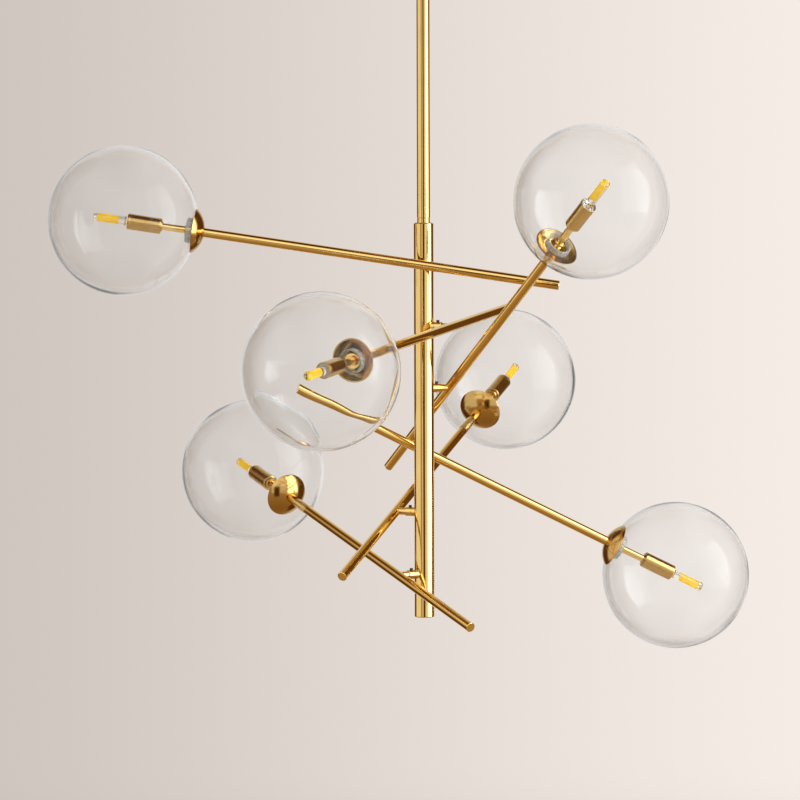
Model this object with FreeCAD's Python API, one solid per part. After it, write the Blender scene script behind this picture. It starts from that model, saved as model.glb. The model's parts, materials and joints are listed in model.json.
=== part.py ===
import FreeCAD, Part
import math
import os

# Branch chandelier: a ceiling fitting carries a straight rod and a hanging column.
# Six like arms turn on knuckles along the column, each with a glass globe at one end.
# Millimetres, +Z up. The origin is on the ceiling, on the column's axis.

# ---- Driving dimensions -------------------------------------------------------------

# Ceiling fitting
CANOPY_D = 120.0
CANOPY_HEIGHT = 28.0
CANOPY_WALL = 1.5
CANOPY_EDGE_R = 5.0
BRACKET_WIDTH = 22.0
BRACKET_SHEET = 2.0
BRIDGE_WIDTH = 44.0
BRIDGE_DEPTH = 12.0
TAB_LENGTH = 16.0
CEILING_HOLE_D = 4.5
CEILING_HOLE_SPACING = 80.0
CANOPY_SCREW_D = 4.0
CANOPY_SCREW_HEAD_D = 8.0
CANOPY_SCREW_HEAD_T = 3.0
CANOPY_SCREW_EDGE = 0.5
CANOPY_SCREW_DEPTH = 10.0

# Swivel hub under the bracket
NIPPLE_D = 10.0
NIPPLE_STANDOUT = 7.0
LOCKNUT_FLATS = 14.0
LOCKNUT_T = 4.0
WIRE_BORE_D = 6.0
HUB_D = 24.0
HUB_ROOF_T = 4.0
HUB_BODY_H = 18.0
HUB_WALL = 2.9
HUB_CAP_H = 7.0
HUB_CAP_UPSTAND = 3.0
HUB_CAP_CHAMFER = 0.8
ROD_FLANGE_D = 17.4
ROD_FLANGE_T = 4.0

# Rod and column
ROD_D = 13.3
ROD_BORE_D = 10.0
ROD_LENGTH = 310.0
ROD_END_CHAMFER = 0.5
COLUMN_D = 20.0
COLUMN_WALL = 1.5
COLUMN_HEIGHT = 396.0
BOSS_D = 12.8
BOSS_H = 4.5
TOP_CAP_T = 3.7
TOP_CAP_CHAMFER = 0.9
TOP_CAP_PLUG = 10.0
ROD_NIPPLE_H = 14.0
END_CAP_T = 4.0
END_CAP_EDGE_R = 1.0
END_CAP_PLUG = 8.0

# Knuckles, spaced evenly between the first below the shoulder and the last above the end
FIRST_KNUCKLE = 41.5
LAST_KNUCKLE = 43.5
BARREL_D = 9.1
BARREL_LENGTH = 10.0
BARREL_BASE = 2.7
BARREL_GROOVE_WIDTH = 0.5
BARREL_GROOVE_DEPTH = 0.4
BARREL_SHANK_D = 6.4
BARREL_SHANK_TAIL = 1.5
PIVOT_D = 5.0
PIVOT_BORE_DEPTH = 10.5
PIVOT_END_GAP = 0.3
PIVOT_WIRE_BORE_D = 3.0
PIVOT_GROOVE_D = 4.0
NECK_D = 7.2
SET_SCREW_D = 2.0
SET_SCREW_HEAD_D = 3.2
SET_SCREW_HEAD_T = 1.9
SET_SCREW_FROM_COLUMN = 5.5

# Arms: stub direction seen from above (0 is +X, 90 is +Y) and pitch, globe end up
ARM_OFFSET = 31.0
ARM_SETTINGS = (
    (-94.5, 8.5),
    (-24.5, -6.0),
    (35.0, 38.5),
    (102.0, -26.5),
    (155.5, 23.5),
    (212.5, 17.0),
)
ARM_D = 9.5
ARM_WALL = 1.0
ARM_TAIL = 138.5
ARM_REACH = 219.5
ARM_PLUG_T = 2.5
ARM_PLUG_CHAMFER = 0.4

# Cup and globe
CUP_D = 45.0
CUP_DEPTH = 10.0
CUP_WALL = 1.2
CUP_FLAT_D = 11.0
GLOBE_D = 150.0
GLOBE_WALL = 2.0
GLOBE_HOLE_D = 9.5
COLLAR_D = 25.0
COLLAR_WALL = 2.0
COLLAR_DEPTH = 9.0

# Lamp stem, socket and lamp
STEM_D = 7.3
STEM_THREAD = 12.0
GLOBE_NUT_D = 16.0
GLOBE_NUT_T = 4.0
STEM_RING_D = 10.4
STEM_RING_T = 2.4
STEM_EDGE = 0.4
STEM_VISIBLE = 26.0
SLEEVE_D = 16.0
SLEEVE_WALL = 1.0
SLEEVE_LENGTH = 32.0
SLEEVE_EDGE_R = 1.5
SLEEVE_FLOOR_T = 1.6
SLEEVE_BUSH_D = 10.0
SLEEVE_BUSH_TOP_D = 12.6
SLEEVE_BUSH_T = 2.6
STEM_END_PAST_FLOOR = 2.0
HOLDER_RECESS = 1.5
HOLDER_WELL_D = 10.2
HOLDER_WELL_DEPTH = 2.0
LAMP_D = 9.0
LAMP_BASE_D = 9.6
LAMP_BASE_H = 5.5
LAMP_OUT = 35.0
LAMP_TIP_R = 3.0
PIN_D = 0.8
PIN_SPACING = 4.0
PIN_LENGTH = 7.0
PIN_ROOT = 1.0

# Clearances, and how far a cutting tool runs past a face
RUNNING = 0.05
FIT = 0.1
SEAT = 0.2
LOOSE = 0.4
PAST = 1.0

# ---- Worked out from the dimensions above -------------------------------------------

CANOPY_R = CANOPY_D / 2
CANOPY_INNER_R = CANOPY_R - CANOPY_WALL
TAB_FACE = math.sqrt(CANOPY_INNER_R ** 2 - (BRACKET_WIDTH / 2) ** 2) - SEAT
HUB_TOP = -(BRIDGE_DEPTH + BRACKET_SHEET)
HUB_SEAM = HUB_TOP - HUB_BODY_H
HUB_BOTTOM = HUB_SEAM - HUB_CAP_H
HUB_CHAMBER_R = HUB_D / 2 - HUB_WALL
ROD_TOP = HUB_SEAM + HUB_CAP_UPSTAND + FIT + ROD_FLANGE_T
ROD_BOTTOM = ROD_TOP - ROD_LENGTH
SHOULDER = ROD_BOTTOM - BOSS_H
COLUMN_R = COLUMN_D / 2
COLUMN_BORE_R = COLUMN_R - COLUMN_WALL
COLUMN_BOTTOM = SHOULDER - COLUMN_HEIGHT
KNUCKLE_SPACING = (COLUMN_HEIGHT - FIRST_KNUCKLE - LAST_KNUCKLE) / (len(ARM_SETTINGS) - 1)
ARM_R = ARM_D / 2
ARM_BORE_R = ARM_R - ARM_WALL
BARREL_END = COLUMN_R + BARREL_LENGTH
PIVOT_BORE_R = PIVOT_D / 2 + RUNNING
SET_SCREW_AT = COLUMN_R + SET_SCREW_FROM_COLUMN
CUP_RIM = ARM_REACH + CUP_DEPTH
CUP_RIM_INNER_R = CUP_D / 2 - CUP_WALL
GLOBE_R = GLOBE_D / 2
GLOBE_INNER_R = GLOBE_R - GLOBE_WALL
GLOBE_CENTRE = CUP_RIM + SEAT + math.sqrt(GLOBE_R ** 2 - CUP_RIM_INNER_R ** 2)
NUT_START = GLOBE_CENTRE - math.sqrt(GLOBE_INNER_R ** 2 - (GLOBE_NUT_D / 2) ** 2) + SEAT
COLLAR_END = GLOBE_CENTRE - GLOBE_INNER_R + COLLAR_DEPTH
STEM_RING_END = COLLAR_END + STEM_RING_T / 2
SLEEVE_START = STEM_RING_END + STEM_VISIBLE
SLEEVE_FLOOR = SLEEVE_START + SLEEVE_FLOOR_T
SLEEVE_END = SLEEVE_START + SLEEVE_LENGTH
STEM_END = SLEEVE_FLOOR + STEM_END_PAST_FLOOR
HOLDER_START = STEM_END + FIT
HOLDER_END = SLEEVE_END - HOLDER_RECESS
LAMP_START = HOLDER_END - HOLDER_WELL_DEPTH + FIT
LAMP_TIP = SLEEVE_END + LAMP_OUT

AXIS_Z = FreeCAD.Vector(0, 0, 1)
ORIGIN = FreeCAD.Vector(0, 0, 0)
Z_TO_X = FreeCAD.Rotation(FreeCAD.Vector(0, 1, 0), 90)
Z_TO_Y = FreeCAD.Rotation(FreeCAD.Vector(1, 0, 0), -90)


# ---- Shape helpers ------------------------------------------------------------------

def outline(points):
    """Closed wire of (radius, height) points. A third value marks an arc's middle point."""
    at = [FreeCAD.Vector(p[0], 0, p[1]) for p in points]
    count = len(points)
    edges = []
    index = 0
    while index < count:
        following = (index + 1) % count
        if len(points[following]) == 3:
            last = (index + 2) % count
            edges.append(Part.Arc(at[index], at[following], at[last]).toShape())
            index += 2
        else:
            edges.append(Part.LineSegment(at[index], at[following]).toShape())
            index += 1
    return Part.Wire(edges)


def turned(points):
    """Solid of revolution about +Z."""
    return Part.Face(outline(points)).revolve(ORIGIN, AXIS_Z, 360)


def ring(outer_r, inner_r, low, high):
    """Plain turned ring about +Z."""
    return turned([(inner_r, low), (outer_r, low), (outer_r, high), (inner_r, high)])


def rod_between(radius, low, high):
    """Plain round bar about +Z."""
    return Part.makeCylinder(radius, high - low, FreeCAD.Vector(0, 0, low), AXIS_Z)


def placed(shape, placement):
    """Copy of the shape, moved."""
    moved = shape.copy()
    moved.Placement = placement.multiply(moved.Placement)
    return moved


def along_arm(shape):
    """Turns a shape made about +Z to lie along the arm's own +X."""
    return placed(shape, FreeCAD.Placement(ORIGIN, Z_TO_X))


def along_stub(shape):
    """Turns a shape made about +Z to stand along the stub's own +Y."""
    return placed(shape, FreeCAD.Placement(ORIGIN, Z_TO_Y))


def knuckle_height(index):
    """Height of a knuckle's axis, counted from the top of the column."""
    return SHOULDER - FIRST_KNUCKLE - index * KNUCKLE_SPACING


def stub_placement(index):
    """Column axis at the knuckle's height, with +Y along the stub."""
    azimuth = ARM_SETTINGS[index][0]
    turn = FreeCAD.Rotation(AXIS_Z, azimuth - 90)
    return FreeCAD.Placement(FreeCAD.Vector(0, 0, knuckle_height(index)), turn)


def arm_placement(index):
    """Pivot point in the arm's axis, with +X towards the globe and +Y away from the column."""
    pitch = ARM_SETTINGS[index][1]
    tilt = FreeCAD.Rotation(FreeCAD.Vector(0, 1, 0), -pitch)
    pivot = FreeCAD.Placement(FreeCAD.Vector(0, ARM_OFFSET, 0), tilt)
    return stub_placement(index).multiply(pivot)


# ---- Ceiling fitting ----------------------------------------------------------------

def ceiling_bracket():
    """Bent strap: two feet on the ceiling, a dropped bridge, and two turned-down tabs."""
    half = BRIDGE_WIDTH / 2
    deep = -BRIDGE_DEPTH
    sheet = BRACKET_SHEET
    right = [
        (0, deep), (half - sheet, deep), (half - sheet, 0), (TAB_FACE, 0),
        (TAB_FACE, -TAB_LENGTH), (TAB_FACE - sheet, -TAB_LENGTH), (TAB_FACE - sheet, -sheet),
        (half, -sheet), (half, deep - sheet), (0, deep - sheet),
    ]
    points = [FreeCAD.Vector(x, -BRACKET_WIDTH / 2, z) for x, z in right]
    points += [FreeCAD.Vector(-x, -BRACKET_WIDTH / 2, z) for x, z in reversed(right) if x > 0]
    profile = Part.Face(Part.makePolygon(points + points[:1]))
    strap = profile.extrude(FreeCAD.Vector(0, BRACKET_WIDTH, 0))
    for side in (-1, 1):
        foot_hole = rod_between(CEILING_HOLE_D / 2, -2 * sheet, sheet)
        foot_hole.translate(FreeCAD.Vector(side * CEILING_HOLE_SPACING / 2, 0, 0))
        strap = strap.cut(foot_hole)
        tab_hole = along_arm(rod_between(CANOPY_SCREW_D / 2 + RUNNING, 0, CANOPY_D))
        tab_hole.rotate(ORIGIN, AXIS_Z, 90 - side * 90)
        tab_hole.translate(FreeCAD.Vector(0, 0, -CANOPY_SCREW_DEPTH))
        past_bridge = FreeCAD.Vector(side * (half + sheet), 0, 0)
        tab_hole.translate(past_bridge)
        strap = strap.cut(tab_hole)
    centre_hole = rod_between(NIPPLE_D / 2 + FIT, deep - 2 * sheet, deep + sheet)
    return strap.cut(centre_hole)


def hub_locknut():
    """Hexagon nut on the hub's nipple, above the bridge."""
    corner = LOCKNUT_FLATS / math.sqrt(3)
    low = -BRIDGE_DEPTH
    corners = []
    for step in range(7):
        angle = math.radians(60 * step)
        corners.append(FreeCAD.Vector(corner * math.cos(angle), corner * math.sin(angle), low))
    nut = Part.Face(Part.makePolygon(corners)).extrude(FreeCAD.Vector(0, 0, LOCKNUT_T))
    return nut.cut(rod_between(NIPPLE_D / 2 + RUNNING, low - PAST, 0))


def swivel_body():
    """Fixed upper half of the hub: a nipple through the bridge and a chamber below it."""
    outer = HUB_D / 2
    nipple = NIPPLE_D / 2
    bore = WIRE_BORE_D / 2
    return turned([
        (bore, HUB_TOP - HUB_ROOF_T), (HUB_CHAMBER_R, HUB_TOP - HUB_ROOF_T),
        (HUB_CHAMBER_R, HUB_SEAM), (outer, HUB_SEAM), (outer, HUB_TOP),
        (nipple, HUB_TOP), (nipple, HUB_TOP + NIPPLE_STANDOUT + BRACKET_SHEET),
        (bore, HUB_TOP + NIPPLE_STANDOUT + BRACKET_SHEET),
    ])


def swivel_cap():
    """Screwed-in lower half of the hub. The rod's flange turns on its upstand."""
    outer = HUB_D / 2
    bore = ROD_D / 2 + RUNNING
    upstand = HUB_CHAMBER_R - RUNNING
    edge = HUB_CAP_CHAMFER
    return turned([
        (bore, HUB_BOTTOM), (outer - edge, HUB_BOTTOM), (outer, HUB_BOTTOM + edge),
        (outer, HUB_SEAM), (upstand, HUB_SEAM), (upstand, HUB_SEAM + HUB_CAP_UPSTAND),
        (bore, HUB_SEAM + HUB_CAP_UPSTAND),
    ])


def canopy():
    """Spun cover with a rounded lower edge, open against the ceiling."""
    outer = CANOPY_R
    inner = CANOPY_INNER_R
    low = -CANOPY_HEIGHT
    bend = CANOPY_EDGE_R
    inner_bend = bend - CANOPY_WALL
    middle = math.sqrt(0.5)
    hole = HUB_D / 2 + LOOSE
    shell = turned([
        (hole, low), (outer - bend, low),
        (outer - bend + bend * middle, low + bend - bend * middle, "arc"),
        (outer, low + bend), (outer, 0), (inner, 0), (inner, low + bend),
        (outer - bend + inner_bend * middle, low + bend - inner_bend * middle, "arc"),
        (outer - bend, low + CANOPY_WALL), (hole, low + CANOPY_WALL),
    ])
    screw_hole = along_arm(rod_between(CANOPY_SCREW_D / 2 + FIT, -CANOPY_D, CANOPY_D))
    screw_hole.translate(FreeCAD.Vector(0, 0, -CANOPY_SCREW_DEPTH))
    return shell.cut(screw_hole)


def canopy_screws():
    """Two thumb screws through the cover's sides into the bracket's tabs."""
    head_r = CANOPY_SCREW_HEAD_D / 2
    shank_r = CANOPY_SCREW_D / 2
    seat = CANOPY_R + FIT
    edge = CANOPY_SCREW_EDGE
    profile = [
        (0, TAB_FACE - 2 * BRACKET_SHEET), (shank_r, TAB_FACE - 2 * BRACKET_SHEET),
        (shank_r, seat), (head_r - edge, seat), (head_r, seat + edge),
        (head_r, seat + CANOPY_SCREW_HEAD_T - edge),
        (head_r - edge, seat + CANOPY_SCREW_HEAD_T), (0, seat + CANOPY_SCREW_HEAD_T),
    ]
    screw = along_arm(turned(profile))
    screw.translate(FreeCAD.Vector(0, 0, -CANOPY_SCREW_DEPTH))
    opposite = screw.copy()
    opposite.rotate(ORIGIN, AXIS_Z, 180)
    return Part.makeCompound([screw, opposite])


# ---- Rod and column -----------------------------------------------------------------

def down_rod():
    """Tube with a flange at its top, which hangs and turns inside the hub."""
    outer = ROD_D / 2
    bore = ROD_BORE_D / 2
    return turned([
        (bore, ROD_BOTTOM), (outer - ROD_END_CHAMFER, ROD_BOTTOM),
        (outer, ROD_BOTTOM + ROD_END_CHAMFER), (outer, ROD_TOP - ROD_FLANGE_T),
        (ROD_FLANGE_D / 2, ROD_TOP - ROD_FLANGE_T), (ROD_FLANGE_D / 2, ROD_TOP),
        (bore, ROD_TOP),
    ])


def column_top_cap():
    """Turned cap: plug in the column, shoulder, small boss, and nipple up the rod."""
    bore = WIRE_BORE_D / 2
    nipple = ROD_BORE_D / 2 - FIT
    plug = COLUMN_BORE_R - FIT
    under = SHOULDER - TOP_CAP_T
    return turned([
        (bore, under - TOP_CAP_PLUG), (plug, under - TOP_CAP_PLUG), (plug, under),
        (COLUMN_R, under), (COLUMN_R, SHOULDER - TOP_CAP_CHAMFER),
        (COLUMN_R - TOP_CAP_CHAMFER, SHOULDER), (BOSS_D / 2, SHOULDER),
        (BOSS_D / 2, ROD_BOTTOM), (nipple, ROD_BOTTOM),
        (nipple, ROD_BOTTOM + ROD_NIPPLE_H), (bore, ROD_BOTTOM + ROD_NIPPLE_H),
    ])


def column_tube():
    """Column tube with a cross hole for each knuckle's shank."""
    tube = ring(COLUMN_R, COLUMN_BORE_R, COLUMN_BOTTOM + END_CAP_T, SHOULDER - TOP_CAP_T)
    for index in range(len(ARM_SETTINGS)):
        hole = along_stub(rod_between(BARREL_SHANK_D / 2 + FIT, 0, 2 * COLUMN_R))
        tube = tube.cut(placed(hole, stub_placement(index)))
    return tube


def column_end_cap():
    """Closed cap with a rounded lower edge and a plug in the column."""
    plug = COLUMN_BORE_R - FIT
    top = COLUMN_BOTTOM + END_CAP_T
    bend = END_CAP_EDGE_R
    middle = bend * (1 - math.sqrt(0.5))
    return turned([
        (0, COLUMN_BOTTOM), (COLUMN_R - bend, COLUMN_BOTTOM),
        (COLUMN_R - middle, COLUMN_BOTTOM + middle, "arc"),
        (COLUMN_R, COLUMN_BOTTOM + bend), (COLUMN_R, top), (plug, top),
        (plug, top + END_CAP_PLUG), (0, top + END_CAP_PLUG),
    ])


def knuckle_barrel():
    """Bored barrel along +Y, saddled to the column, with a shank through its wall."""
    body_r = BARREL_D / 2
    shank_r = BARREL_SHANK_D / 2
    groove_r = body_r - BARREL_GROOVE_DEPTH
    groove = COLUMN_R + BARREL_BASE
    shank_start = COLUMN_BORE_R - BARREL_SHANK_TAIL
    floor = BARREL_END - PIVOT_BORE_DEPTH
    edge = BARREL_GROOVE_DEPTH
    body = turned([
        (0, 0), (body_r, 0), (body_r, groove), (groove_r, groove),
        (groove_r, groove + BARREL_GROOVE_WIDTH), (body_r, groove + BARREL_GROOVE_WIDTH),
        (body_r, BARREL_END - edge), (body_r - edge, BARREL_END), (0, BARREL_END),
    ])
    body = along_stub(body).cut(rod_between(COLUMN_R + RUNNING, -BARREL_D, BARREL_D))
    body = body.fuse(along_stub(rod_between(shank_r, shank_start, COLUMN_R + BARREL_BASE)))
    body = body.cut(along_stub(rod_between(PIVOT_BORE_R, floor, 2 * BARREL_END)))
    body = body.cut(along_stub(rod_between(PIVOT_WIRE_BORE_D / 2, 0, BARREL_END)))
    screw_hole = rod_between(SET_SCREW_D / 2 + RUNNING, 0, BARREL_D)
    screw_hole.translate(FreeCAD.Vector(0, SET_SCREW_AT, 0))
    return body.cut(screw_hole).removeSplitter()


def set_screw():
    """Small cap screw down through the barrel. Its tip stands in the pivot's groove."""
    tip = PIVOT_GROOVE_D / 2 + 3 * RUNNING
    seat = BARREL_D / 2 + RUNNING
    top = seat + SET_SCREW_HEAD_T
    head_r = SET_SCREW_HEAD_D / 2
    edge = SET_SCREW_HEAD_T / 6
    screw = turned([
        (0, tip), (SET_SCREW_D / 2, tip), (SET_SCREW_D / 2, seat), (head_r, seat),
        (head_r, top - edge), (head_r - edge, top), (0, top),
    ])
    screw.translate(FreeCAD.Vector(0, SET_SCREW_AT, 0))
    return screw


def for_each_knuckle(shape):
    """One copy of a knuckle's piece at each stub on the column."""
    count = len(ARM_SETTINGS)
    return Part.makeCompound([placed(shape, stub_placement(index)) for index in range(count)])


# ---- Arm pieces, in the arm's own frame ---------------------------------------------

def arm_tube():
    """Tube with a closed tail and a side hole for the pivot spigot."""
    edge = ARM_PLUG_CHAMFER
    tube = along_arm(turned([
        (0, -ARM_TAIL), (ARM_R - edge, -ARM_TAIL), (ARM_R, edge - ARM_TAIL),
        (ARM_R, ARM_REACH), (ARM_BORE_R, ARM_REACH), (ARM_BORE_R, ARM_PLUG_T - ARM_TAIL),
        (0, ARM_PLUG_T - ARM_TAIL),
    ]))
    side_hole = along_stub(rod_between(PIVOT_D / 2 + RUNNING, -ARM_D, 0))
    return tube.cut(side_hole)


def pivot_spigot():
    """Hollow spigot: a neck saddled to the arm and a grooved shank that turns in the barrel."""
    neck_r = NECK_D / 2
    shank_r = PIVOT_D / 2
    groove_r = PIVOT_GROOVE_D / 2
    inner_end = BARREL_END - PIVOT_BORE_DEPTH + PIVOT_END_GAP - ARM_OFFSET
    shoulder = BARREL_END + SEAT - ARM_OFFSET
    groove = SET_SCREW_AT - ARM_OFFSET
    half_groove = SET_SCREW_D / 2 + SEAT
    shank = turned([
        (0, inner_end), (shank_r, inner_end), (shank_r, groove - half_groove),
        (groove_r, groove - half_groove), (groove_r, groove + half_groove),
        (shank_r, groove + half_groove), (shank_r, -ARM_BORE_R), (0, -ARM_BORE_R),
    ])
    neck = along_stub(rod_between(neck_r, shoulder, 0))
    neck = neck.cut(along_arm(rod_between(ARM_R + RUNNING, -ARM_D, ARM_D)))
    neck = max(neck.Solids, key=lambda solid: solid.Volume)
    wire_bore = along_stub(rod_between(PIVOT_WIRE_BORE_D / 2, inner_end - PAST, 0))
    return neck.fuse(along_stub(shank)).cut(wire_bore).removeSplitter()


def shade_cup():
    """Spun brass dish: a small flat on the arm's end, then a round flare to the rim."""
    rim = CUP_D / 2
    flat = CUP_FLAT_D / 2
    bulge = (rim ** 2 - flat ** 2 + CUP_DEPTH ** 2) / (2 * CUP_DEPTH)
    radius = math.hypot(rim, bulge - CUP_DEPTH)
    centre = ARM_REACH + bulge
    mean = (rim + flat) / 2
    inner_radius = radius - CUP_WALL
    hole = STEM_D / 2 + FIT
    floor = ARM_REACH + CUP_WALL
    inner_flat = math.sqrt(inner_radius ** 2 - (centre - floor) ** 2)
    inner_rim = math.sqrt(inner_radius ** 2 - (centre - CUP_RIM) ** 2)
    inner_mean = (inner_flat + inner_rim) / 2
    return along_arm(turned([
        (hole, ARM_REACH), (flat, ARM_REACH),
        (mean, centre - math.sqrt(radius ** 2 - mean ** 2), "arc"),
        (rim, CUP_RIM), (inner_rim, CUP_RIM),
        (inner_mean, centre - math.sqrt(inner_radius ** 2 - inner_mean ** 2), "arc"),
        (inner_flat, floor), (hole, floor),
    ]))


def glass_globe():
    """Blown globe with a small hole at its pole and a glass collar inside, round the hole."""
    hole = GLOBE_HOLE_D / 2
    collar_outer = COLLAR_D / 2
    collar_inner = collar_outer - COLLAR_WALL

    def outer_at(radial):
        return GLOBE_CENTRE - math.sqrt(GLOBE_R ** 2 - radial ** 2)

    def inner_at(radial):
        return GLOBE_CENTRE - math.sqrt(GLOBE_INNER_R ** 2 - radial ** 2)

    mid_floor = (hole + collar_inner) / 2
    return along_arm(turned([
        (hole, outer_at(hole)), (GLOBE_R, GLOBE_CENTRE, "arc"), (0, GLOBE_CENTRE + GLOBE_R),
        (0, GLOBE_CENTRE + GLOBE_INNER_R), (GLOBE_INNER_R, GLOBE_CENTRE, "arc"),
        (collar_outer, inner_at(collar_outer)), (collar_outer, COLLAR_END),
        (collar_inner, COLLAR_END), (collar_inner, inner_at(collar_inner)),
        (mid_floor, inner_at(mid_floor), "arc"), (hole, inner_at(hole)),
    ]))


def lamp_stem():
    """Turned stem: threaded into the arm, with the nut that clamps the globe and a ring."""
    stem = STEM_D / 2
    bore = PIVOT_WIRE_BORE_D / 2
    nut = GLOBE_NUT_D / 2
    ring_r = STEM_RING_D / 2
    edge = STEM_EDGE
    return along_arm(turned([
        (bore, ARM_REACH - STEM_THREAD), (stem, ARM_REACH - STEM_THREAD),
        (stem, NUT_START), (nut, NUT_START), (nut, NUT_START + GLOBE_NUT_T - edge),
        (nut - edge, NUT_START + GLOBE_NUT_T), (stem, NUT_START + GLOBE_NUT_T),
        (stem, STEM_RING_END - STEM_RING_T), (ring_r, STEM_RING_END - STEM_RING_T),
        (ring_r, STEM_RING_END - edge), (ring_r - edge, STEM_RING_END),
        (stem, STEM_RING_END), (stem, STEM_END), (bore, STEM_END),
    ]))


def socket_sleeve():
    """Deep turned sleeve, open towards the lamp, with a conical bush on the stem."""
    outer = SLEEVE_D / 2
    inner = outer - SLEEVE_WALL
    hole = STEM_D / 2 + FIT
    bend = SLEEVE_EDGE_R
    middle = bend * (1 - math.sqrt(0.5))
    bush = SLEEVE_START - SLEEVE_BUSH_T
    return along_arm(turned([
        (hole, bush), (SLEEVE_BUSH_D / 2, bush), (SLEEVE_BUSH_TOP_D / 2, SLEEVE_START),
        (outer - bend, SLEEVE_START), (outer - middle, SLEEVE_START + middle, "arc"),
        (outer, SLEEVE_START + bend), (outer, SLEEVE_END), (inner, SLEEVE_END),
        (inner, SLEEVE_FLOOR), (hole, SLEEVE_FLOOR),
    ]))


def pin_pair(radius, low, high):
    """Two round bars side by side, at the lamp's pin spacing."""
    pins = []
    for side in (-1, 1):
        pin = rod_between(radius, low, high)
        pin.translate(FreeCAD.Vector(0, side * PIN_SPACING / 2, 0))
        pins.append(pin)
    return pins


def lamp_holder():
    """Ceramic holder on the stem's end, with a shallow well and two pin holes."""
    body_r = SLEEVE_D / 2 - SLEEVE_WALL - FIT
    well = HOLDER_END - HOLDER_WELL_DEPTH
    holder = turned([
        (0, HOLDER_START), (body_r, HOLDER_START), (body_r, HOLDER_END),
        (HOLDER_WELL_D / 2, HOLDER_END), (HOLDER_WELL_D / 2, well), (0, well),
    ])
    for pin in pin_pair(PIN_D / 2 + FIT, well - PIN_LENGTH - FIT, HOLDER_END):
        holder = holder.cut(pin)
    return along_arm(holder)


def lamp():
    """Two-pin capsule lamp: base, clear envelope with a rounded tip, and its pins."""
    base_r = LAMP_BASE_D / 2
    glass_r = LAMP_D / 2
    base_end = LAMP_START + LAMP_BASE_H
    bend = LAMP_TIP_R
    middle = bend * (1 - math.sqrt(0.5))
    body = turned([
        (0, LAMP_START), (base_r, LAMP_START), (base_r, base_end), (glass_r, base_end),
        (glass_r, LAMP_TIP - bend), (glass_r - middle, LAMP_TIP - middle, "arc"),
        (glass_r - bend, LAMP_TIP), (0, LAMP_TIP),
    ])
    for pin in pin_pair(PIN_D / 2, LAMP_START - PIN_LENGTH, LAMP_START + PIN_ROOT):
        body = body.fuse(pin)
    return along_arm(body)


# ---- Export -------------------------------------------------------------------------

FIXED_PIECES = {
    "ceiling_bracket": ceiling_bracket,
    "hub_locknut": hub_locknut,
    "swivel_body": swivel_body,
    "swivel_cap": swivel_cap,
    "canopy": canopy,
    "canopy_screws": canopy_screws,
    "down_rod": down_rod,
    "column_top_cap": column_top_cap,
    "column_tube": column_tube,
    "column_end_cap": column_end_cap,
    "knuckle_barrels": lambda: for_each_knuckle(knuckle_barrel()),
    "set_screws": lambda: for_each_knuckle(set_screw()),
}

ARM_PIECES = {
    "arm_tube": arm_tube,
    "pivot_spigot": pivot_spigot,
    "shade_cup": shade_cup,
    "glass_globe": glass_globe,
    "lamp_stem": lamp_stem,
    "socket_sleeve": socket_sleeve,
    "lamp_holder": lamp_holder,
    "lamp": lamp,
}


def save(shape, node):
    """Writes one sub-part and prints what it holds."""
    shape.exportStep("parts/" + node + ".step")
    print(node, "solids", len(shape.Solids), "volume", round(shape.Volume, 1),
          "valid", shape.isValid())


def main():
    os.makedirs("parts", exist_ok=True)
    for node, make in FIXED_PIECES.items():
        save(make(), node)
    for node, make in ARM_PIECES.items():
        piece = make()
        for index in range(len(ARM_SETTINGS)):
            save(placed(piece, arm_placement(index)), node + "_" + str(index + 1))


main()
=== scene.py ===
"""Branch chandelier: brass, blown globes, lamps, studio and camera around the fixed frame."""

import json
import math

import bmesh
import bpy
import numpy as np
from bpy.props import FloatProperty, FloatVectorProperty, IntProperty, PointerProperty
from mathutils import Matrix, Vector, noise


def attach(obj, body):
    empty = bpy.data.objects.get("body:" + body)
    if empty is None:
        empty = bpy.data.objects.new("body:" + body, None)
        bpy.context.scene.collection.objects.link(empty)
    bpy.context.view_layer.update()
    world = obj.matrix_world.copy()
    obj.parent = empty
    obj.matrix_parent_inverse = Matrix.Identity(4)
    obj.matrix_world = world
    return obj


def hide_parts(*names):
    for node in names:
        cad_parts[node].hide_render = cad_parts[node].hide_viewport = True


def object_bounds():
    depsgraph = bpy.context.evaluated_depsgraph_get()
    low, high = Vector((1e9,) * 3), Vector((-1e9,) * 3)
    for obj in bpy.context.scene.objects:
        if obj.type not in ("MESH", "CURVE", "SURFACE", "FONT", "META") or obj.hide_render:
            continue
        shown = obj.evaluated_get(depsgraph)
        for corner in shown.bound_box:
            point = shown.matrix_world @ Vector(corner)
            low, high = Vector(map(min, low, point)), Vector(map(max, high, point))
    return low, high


bl_info = {
    "name": "Branch Chandelier",
    "version": (1, 0, 0),
    "blender": (4, 5, 0),
    "location": "3D View > Sidebar > Chandelier",
    "description": "Dresses a six-armed branch chandelier in brass, blown glass and lamps",
    "category": "Object",
}

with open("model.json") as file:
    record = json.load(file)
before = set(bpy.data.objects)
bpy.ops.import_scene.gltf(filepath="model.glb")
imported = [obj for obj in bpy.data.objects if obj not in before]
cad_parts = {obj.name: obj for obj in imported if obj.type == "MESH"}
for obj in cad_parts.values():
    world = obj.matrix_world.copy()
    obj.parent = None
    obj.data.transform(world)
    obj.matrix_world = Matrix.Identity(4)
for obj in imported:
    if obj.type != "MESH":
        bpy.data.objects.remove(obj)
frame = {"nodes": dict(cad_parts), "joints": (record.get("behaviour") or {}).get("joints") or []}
CAD_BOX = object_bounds()

NODES = frame["nodes"]
JOINTS = {joint["name"]: joint for joint in frame["joints"]}
ARMS = range(1, 1 + sum(name.startswith("arm_tube_") for name in NODES))
MM = 0.001
SHARP_EDGE = math.radians(28)


# ---- Where the arms are, read from the frame ----------------------------------------

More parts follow.
